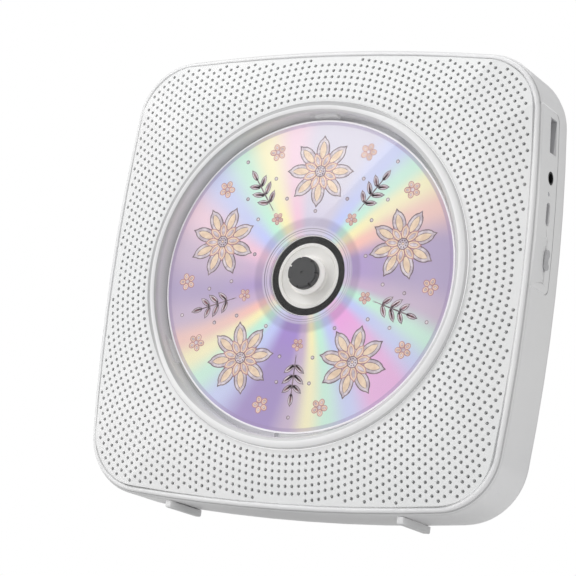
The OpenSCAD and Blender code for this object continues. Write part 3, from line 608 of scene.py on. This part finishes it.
# The disc's print: five large flowers in a ring, leafy sprigs between them, small blossoms and dots
printLook = {
    "ink": 0.03, "inkFill": 0.9, "above": 0.02,  # a layer, the share of it that is solid, rise from the disc
    "petalCorners": 20, "dotCorners": 16, "innerRim": 0.16,  # the inner rim in widths of the petal
    "flowers": 5, "firstFlower": 90.0, "flowerAt": 40.0,
    "whorls": [  # petals, length, width, start from the middle, turn, outline, finishes
        (8, 9.6, 5.6, 3.4, 0.0, 0.42, (inkDark, inkPale, inkSand)),
        (8, 5.4, 3.2, 1.7, 22.5, 0.32, (inkRose, inkSand, inkPale))],
    "eye": (2.3, 0.35), "bud": (0.6, 0.18),  # radius and outline
    "seeds": (8, 0.3, 1.35),  # count, radius, distance from the middle
    "sprigAt": 31.5,
    "stem": (17.0, 0.5, 0.1),  # length, width, outline
    "topLeaf": (4.4, 13.6),  # length, start
    "leaf": (2.1, 0.3, 0.28, 52.0),  # width, start, outline, lean in degrees
    "leaves": ((2.6, 4.6), (6.4, 5.0), (10.2, 4.4)),  # height on the stem, length
    "blossoms": ((6.6, 51.2), (4.8, 26.6)), "blossomSide": 14.0,  # size and place, outer and inner
    "blossomPetal": (5, 0.42, 0.36, 0.1, 0.3),  # count, then length, width and start in sizes, outline in mm
    "blossomEye": (0.13, 0.18),  # radius in sizes, outline in mm
    "dot": (0.75, 0.25),  # radius and outline
    "dots": [  # degrees from a sprig, and the distance from the disc's axis
        (-9.5, 41.5), (9.5, 41.5), (0, 54.0), (-12.5, 32.0), (12.5, 32.0), (-36, 24.6)]}


def petal(length, width, start, rim, finishes, tip=0.12):  # lies flat and points along Y
    bpy.ops.mesh.primitive_circle_add(vertices=printLook["petalCorners"], radius=0.5, fill_type="NGON",
                                      location=(0, 0, 0))
    piece = bpy.context.object
    paint(piece, *finishes)
    bpy.ops.object.mode_set(mode="EDIT")
    bpy.ops.mesh.select_all(action="SELECT")
    bpy.ops.transform.resize(value=(width * mm, length * mm, 1))
    bpy.ops.transform.translate(value=(0, (start + length / 2) * mm, 0))
    bpy.ops.mesh.select_all(action="DESELECT")
    bpy.ops.object.mode_set(mode="OBJECT")
    ends = sorted(piece.data.vertices, key=lambda corner: corner.co.y)
    ends[-1].select = True
    bpy.ops.object.mode_set(mode="EDIT")
    bpy.ops.transform.translate(value=(0, tip * length * mm, 0))
    bpy.ops.mesh.select_all(action="SELECT")
    for depth, finish in ((rim, 1), (printLook["innerRim"] * width, 2)):
        bpy.ops.mesh.inset(thickness=depth * mm)
        piece.active_material_index = finish
        bpy.ops.object.material_slot_assign()
    bpy.ops.mesh.inset(thickness=0.5 * rim * mm)
    bpy.ops.object.mode_set(mode="OBJECT")
    for face in piece.data.polygons:
        if face.material_index == 2 and len(face.vertices) == 4:
            face.material_index = 0  # a line round the inner field
    return piece


def roundDot(radius, spot, finish, rim=None, ink=None):  # with an outline of this ink, where it has a rim
    bpy.ops.mesh.primitive_circle_add(vertices=printLook["dotCorners"], radius=radius * mm, fill_type="NGON",
                                      location=(spot[0] * mm, spot[1] * mm, 0))
    piece = bpy.context.object
    paint(piece, ink or finish, finish)
    if rim:
        bpy.ops.object.mode_set(mode="EDIT")
        bpy.ops.mesh.select_all(action="SELECT")
        bpy.ops.mesh.inset(thickness=rim * mm)
        piece.active_material_index = 1
        bpy.ops.object.material_slot_assign()
        bpy.ops.object.mode_set(mode="OBJECT")
    settle(piece)
    return piece


def ringOf(piece, count, turn=0.0):  # copies of a piece round the middle, as one
    copies = [piece] + [another(piece) for _ in range(count - 1)]
    for step, twin in enumerate(copies):
        twin.rotation_euler = (0, 0, math.radians(turn + 360 * step / count))
    whole = joined(copies, piece.name)
    settle(whole)
    return whole


def lifted(piece, layers):  # raised by this many thicknesses of ink
    piece.location.z = layers * printLook["ink"] * mm
    settle(piece)
    return piece


def flower():
    layers = []
    for level, (count, length, width, start, turn, rim, finishes) in enumerate(printLook["whorls"]):
        whorl = ringOf(petal(length, width, start, rim, finishes), count, turn)
        layers.append(lifted(whorl, level))
    radius, rim = printLook["eye"]
    layers.append(lifted(roundDot(radius, (0, 0), inkPale, rim, inkDark), 2))
    count, radius, away = printLook["seeds"]
    layers.append(lifted(ringOf(roundDot(radius, (0, away), inkDark), count), 3))
    radius, rim = printLook["bud"]
    layers.append(lifted(roundDot(radius, (0, 0), inkSand, rim, inkDark), 3))
    return joined(layers, "flower")


def sprig():
    length, width, rim = printLook["stem"]
    leaves = [petal(length, width, 0.0, rim, (inkDark, inkDark, inkDark), 0.0)]
    width, start, rim, lean = printLook["leaf"]
    for side in (-1, 1):
        for height, length in printLook["leaves"]:
            leaf = petal(length, width, start, rim, (inkDark, inkPale, inkRose))
            leaf.rotation_euler = (0, 0, side * math.radians(lean))
            leaf.location = (0, height * mm, 0)
            settle(leaf)
            leaves.append(leaf)
    length, start = printLook["topLeaf"]
    leaves.append(petal(length, width, start, rim, (inkDark, inkPale, inkRose)))
    return joined(leaves, "sprig")


def blossom(size):
    count, length, width, start, rim = printLook["blossomPetal"]
    leaf = petal(length * size, width * size, start * size, rim, (inkRose, inkSand, inkPale), 0.0)
    leaves = ringOf(leaf, count)
    radius, rim = printLook["blossomEye"]
    middle = lifted(roundDot(radius * size, (0, 0), inkPale, rim, inkRose), 1)
    return joined([leaves, middle], "blossom")


def onDisc(motif, name, spots):  # copies of a flat motif on the disc's face, each turned outwards
    copies = []
    for radius, angle in spots:
        twin = another(motif)
        twin.matrix_world = (Matrix.Translation((axisX, discFront - printLook["above"] * mm, axisZ))
                             @ Matrix.Rotation(math.radians(90), 4, "X")
                             @ Matrix.Rotation(math.radians(angle - 90), 4, "Z")
                             @ Matrix.Translation((0, radius * mm, 0)))
        copies.append(twin)
    bpy.data.objects.remove(motif)
    whole = joined(copies, name)
    settle(whole)
    applied(whole, "SOLIDIFY", thickness=printLook["inkFill"] * printLook["ink"] * mm, offset=0.0)
    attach(whole, "disc")


flowerStep = 360 / printLook["flowers"]
flowerTurns = [printLook["firstFlower"] + flowerStep * step for step in range(printLook["flowers"])]
sprigTurns = [turn + flowerStep / 2 for turn in flowerTurns]
onDisc(flower(), "disc_flowers", [(printLook["flowerAt"], turn) for turn in flowerTurns])
onDisc(sprig(), "disc_sprigs", [(printLook["sprigAt"], turn) for turn in sprigTurns])
(outerSize, outerAt), (innerSize, innerAt) = printLook["blossoms"]
onDisc(blossom(outerSize), "disc_blossoms",
       [(outerAt, turn + side * printLook["blossomSide"]) for turn in sprigTurns for side in (-1, 1)])
onDisc(blossom(innerSize), "disc_small_blossoms", [(innerAt, turn) for turn in sprigTurns])
onDisc(roundDot(printLook["dot"][0], (0, 0), inkPale, printLook["dot"][1], inkDark), "disc_dots",
       [(radius, turn + side) for turn in sprigTurns for side, radius in printLook["dots"]])
print("disc print made")


# Case screws: domed heads with a cross recess, deep in the back of the shell
screwLook = {"spots": ((-58, 72), (58, 72), (-36, -78), (36, -78)), "radius": 2.7, "seat": 31.5,
             "height": 1.7, "corners": 40, "dome": 0.75, "domeSteps": 4, "smooth": math.radians(35),
             "recess": (0.62, 3.2, 1.0), "recessTurns": (45, 135)}  # width, length and depth; degrees


def screwHead():
    bpy.ops.mesh.primitive_cylinder_add(vertices=screwLook["corners"], radius=screwLook["radius"] * mm,
                                        depth=screwLook["height"] * mm)
    head = bpy.context.object
    bpy.ops.object.mode_set(mode="EDIT")
    bpy.ops.mesh.select_all(action="DESELECT")
    bpy.ops.object.mode_set(mode="OBJECT")
    for face in head.data.polygons:
        face.select = face.normal.z > 0.9  # the top
    bpy.ops.object.mode_set(mode="EDIT")
    bpy.ops.mesh.bevel(offset=screwLook["dome"] * mm, segments=screwLook["domeSteps"])
    bpy.ops.object.mode_set(mode="OBJECT")
    width, length, depth = screwLook["recess"]
    for turn in screwLook["recessTurns"]:
        bpy.ops.mesh.primitive_cube_add(size=1, location=(0, 0, screwLook["height"] / 2 * mm))
        cutter = bpy.context.object
        cutter.scale = (width * mm, length * mm, 2 * depth * mm)
        cutter.rotation_euler = (0, 0, math.radians(turn))
        settle(cutter)
        applied(head, "BOOLEAN", operation="DIFFERENCE", object=cutter, solver="EXACT")
        bpy.data.objects.remove(cutter)
    hold(head)
    bpy.ops.object.shade_smooth_by_angle(angle=screwLook["smooth"])
    return head


head = screwHead()
heads = []
for across, up in screwLook["spots"]:
    twin = another(head)
    twin.rotation_euler = (math.radians(-90), 0, 0)
    twin.location = (axisX + across * mm, frontY + (screwLook["seat"] + screwLook["height"] / 2) * mm,
                     axisZ + up * mm)
    settle(twin)
    heads.append(twin)
bpy.data.objects.remove(head)
screws = joined(heads, "case_screws")
paint(screws, steel)
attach(screws, "case")
print("case screws made")


# Stage: pale floor, studio light and the camera
stageLook = {"floor": 3.0, "floorGlow": 0.3, "paper": (rgb(180, 180, 180), rgb(184, 184, 184), 900.0),
             "camera": (428.6, -791.6, -96.6), "target": (-15.0, 0.0, 87.7),  # mm
             "roll": 7.65, "lens": 152.6, "sensor": 36.0, "nearest": 0.01,
             "sky": 0.4, "aim": (0, 0, 0.08),
             "panels": [  # name, place, size, watts, whether gloss shows it
                 ("keyPanel", (-0.75, -0.85, 1.0), 0.9, 7.0, True),
                 ("fillPanel", (1.3, -0.75, 0.35), 0.8, 4.4, True),
                 ("leftPanel", (-0.9, -1.15, 0.05), 0.9, 10.2, False),
                 ("topPanel", (0.0, 0.25, 1.3), 0.9, 6.0, True)]}


def paleFloor():
    bpy.ops.mesh.primitive_plane_add(size=stageLook["floor"], location=(0, 0, 0))
    floor = bpy.context.object
    floor.name = "floor"
    material, wire = newFinish("floorPaper")
    colour, shade, fibres = stageLook["paper"]
    matte = wire.node("BsdfDiffuse", None, {"Color": noise(wire, fibres, 3.0).mixTo(colour, shade)})
    glow = wire.node("Emission", None, {"Color": (1, 1, 1, 1), "Strength": stageLook["floorGlow"]})
    lit = wire.node("AddShader", None, {0: matte, 1: glow})
    clear = wire.node("BsdfTransparent")
    under = wire.node("NewGeometry", None, None, out=6)  # seen from below
    show(wire, wire.node("MixShader", None, {0: under, 1: lit, 2: clear}))
    paint(floor, material)
    settle(floor)


# Places and widths in metres, the lean in degrees; the fade goes by the angle from the card's start
cardLook = {"foot": (-0.5132, 0.3494), "away": -0.95, "lean": 46.3, "size": 0.7, "glow": 1.9,
            "start": (-0.02, 0.04), "edge": (0.0, 0.001), "fade": (0.3, 1.1), "fadeFrom": 0.12}


def sheenCard():  # a bright card whose straight edge is mirrored across the clear cover
    (footX, footZ), lean = cardLook["foot"], math.radians(cardLook["lean"])
    bpy.ops.mesh.primitive_plane_add(size=cardLook["size"], location=(footX, cardLook["away"], footZ),
                                     rotation=(math.radians(90), 0, 0))
    card = bpy.context.object
    card.name = "sheenCard"
    material, wire = newFinish("cardGlow")
    x, y, z = parts(wire, place(wire))
    along = (x - footX) * math.cos(lean) + (z - footZ) * math.sin(lean)
    out = (z - footZ) * math.cos(lean) - (x - footX) * math.sin(lean)
    fade = 1 - (out / (along + cardLook["fadeFrom"])).step(*cardLook["fade"])
    mask = along.step(*cardLook["start"]) * out.step(*cardLook["edge"]) * fade
    glow = wire.node("Emission", None, {"Color": (1, 1, 1, 1), "Strength": cardLook["glow"]})
    clear = wire.node("BsdfTransparent")
    show(wire, wire.node("MixShader", None, {0: mask, 1: clear, 2: glow}))
    paint(card, material)
    settle(card)
    card.visible_camera = card.visible_diffuse = card.visible_shadow = False


def studioLight():
    for name, spot, size, watts, mirrored in stageLook["panels"]:
        light = bpy.data.lights.new(name, "AREA")
        light.shape, light.size, light.energy = "SQUARE", size, watts
        panel = bpy.data.objects.new(name, light)
        bpy.context.scene.collection.objects.link(panel)
        panel.location = spot
        panel.rotation_euler = (Vector(stageLook["aim"]) - Vector(spot)).to_track_quat("-Z", "Y").to_euler()
        panel.visible_camera, panel.visible_glossy = False, mirrored
    world = bpy.data.worlds.new("studio")
    world.use_nodes = True
    world.node_tree.nodes.clear()
    wire = Wire(world.node_tree)
    seen = wire.node("LightPath")
    soft = wire.node("Background", None, {"Color": (1, 1, 1, 1), "Strength": stageLook["sky"]})
    plain = wire.node("Background", None, {"Color": (1, 1, 1, 1), "Strength": 1.0})
    wire.node("OutputWorld", None, {"Surface": wire.node("MixShader", None, {0: seen, 1: soft, 2: plain})})
    bpy.context.scene.world = world
    bpy.context.scene.view_settings.view_transform = "Standard"


def mainCamera():
    lens = bpy.data.cameras.new("mainCamera")
    lens.lens, lens.sensor_width = stageLook["lens"], stageLook["sensor"]
    lens.clip_start = stageLook["nearest"]
    camera = bpy.data.objects.new("mainCamera", lens)
    bpy.context.scene.collection.objects.link(camera)
    spot, target = Vector(stageLook["camera"]) * mm, Vector(stageLook["target"]) * mm
    turn = (target - spot).to_track_quat("-Z", "Y").to_matrix().to_4x4()
    roll = Matrix.Rotation(math.radians(stageLook["roll"]), 4, "Z")
    camera.matrix_world = Matrix.Translation(spot) @ turn @ roll
    bpy.context.scene.camera = camera


paleFloor()
sheenCard()
studioLight()
mainCamera()
print("stage ready")
